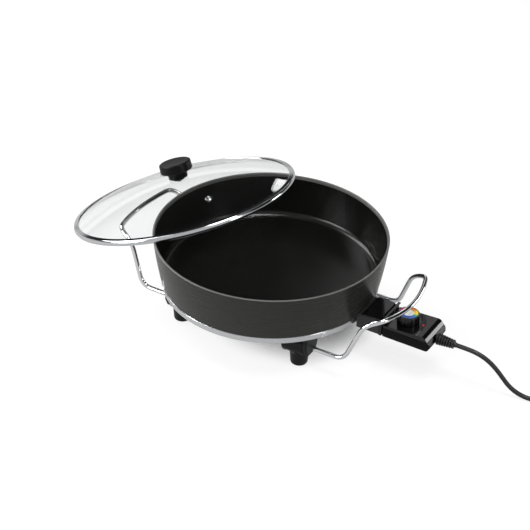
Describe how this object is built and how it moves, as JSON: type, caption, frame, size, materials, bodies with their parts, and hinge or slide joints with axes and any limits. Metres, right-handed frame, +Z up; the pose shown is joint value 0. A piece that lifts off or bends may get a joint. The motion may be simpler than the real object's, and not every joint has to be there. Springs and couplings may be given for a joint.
{
  "type": "electric skillet",
  "caption": "Deep round electric skillet on feet with wire handles, a pull-out thermostat on a mains cord and a lift-off glass lid leaning on its rim.",
  "frame": {"origin": "on the table, under the middle of the box of the skillet without its loose cord", "axes": "+X from the pan's axis towards the thermostat, +Z up"},
  "size_m": [0.9142, 0.415, 0.1877],
  "materials": {
    "nonstick_coating": "cast aluminium with a black satin non-stick coating",
    "cast_aluminium": "machined bright",
    "stainless_steel": "polished",
    "chromed_steel": "mirror chrome plate",
    "black_plastic": "black moulded, semi-gloss",
    "glossy_plastic": "black moulded, high gloss",
    "grey_black_plastic": "dark grey moulded, matte",
    "glass": "clear tempered",
    "rubber": "matte",
    "cord_rubber": "matte black",
    "brass": "plain",
    "red_lens": "clear red",
    "printed_scale": null
  },
  "bodies": {
    "pan": {"pan_body": "nonstick_coating", "base_plate": "cast_aluminium", "heating_element": "stainless_steel", "terminal_pin_near": "stainless_steel", "terminal_pin_far": "stainless_steel", "socket_housing": "grey_black_plastic", "socket_cover": "glossy_plastic", "socket_screw_near": "stainless_steel", "socket_screw_far": "stainless_steel", "foot_bracket_left_front": "black_plastic", "foot_left_front": "black_plastic", "foot_sole_left_front": "rubber", "bracket_stud_left_front": "stainless_steel", "foot_bracket_left_rear": "black_plastic", "foot_left_rear": "black_plastic", "foot_sole_left_rear": "rubber", "bracket_stud_left_rear": "stainless_steel", "foot_bracket_right_front": "black_plastic", "foot_right_front": "black_plastic", "foot_sole_right_front": "rubber", "bracket_stud_right_front": "stainless_steel", "foot_bracket_right_rear": "black_plastic", "foot_right_rear": "black_plastic", "foot_sole_right_rear": "rubber", "bracket_stud_right_rear": "stainless_steel", "handle_rod_left": "chromed_steel", "handle_rod_right": "chromed_steel"},
    "lid": {"lid_glass": "glass", "lid_band": "stainless_steel", "knob_stem": "black_plastic", "knob_cap": "black_plastic", "knob_washer": "rubber", "knob_screw": "stainless_steel", "vent_grommet": "stainless_steel"},
    "thermostat": {"thermostat_collar": "black_plastic", "thermostat_upper_case": "glossy_plastic", "thermostat_lower_case": "black_plastic", "switch_block": "grey_black_plastic", "bimetal_strip": "brass", "probe_rod": "stainless_steel", "contact_sleeve_near": "brass", "contact_sleeve_far": "brass", "pilot_lamp": "red_lens", "strain_relief": "rubber", "cord": "cord_rubber", "cord_coil": "cord_rubber", "mains_plug": "cord_rubber", "mains_pin_left": "brass", "mains_pin_right": "brass"},
    "dial": {"dial": "black_plastic", "dial_scale": "printed_scale", "dial_shaft": "brass"}
  },
  "joints": [
    {"name": "lid_lift", "type": "slide", "parent": "pan", "child": "lid", "axis": [0, 0, 1], "range_m": [0, 0.15]},
    {"name": "thermostat_unplug", "type": "slide", "parent": "pan", "child": "thermostat", "axis": [1, 0, 0], "range_m": [0, 0.07]},
    {"name": "dial_turn", "type": "hinge", "parent": "thermostat", "child": "dial", "pos_m": [0.2631, -0.02552, 0.091], "axis": [0, 0, 1], "range_deg": [-270, 0]}
  ]
}
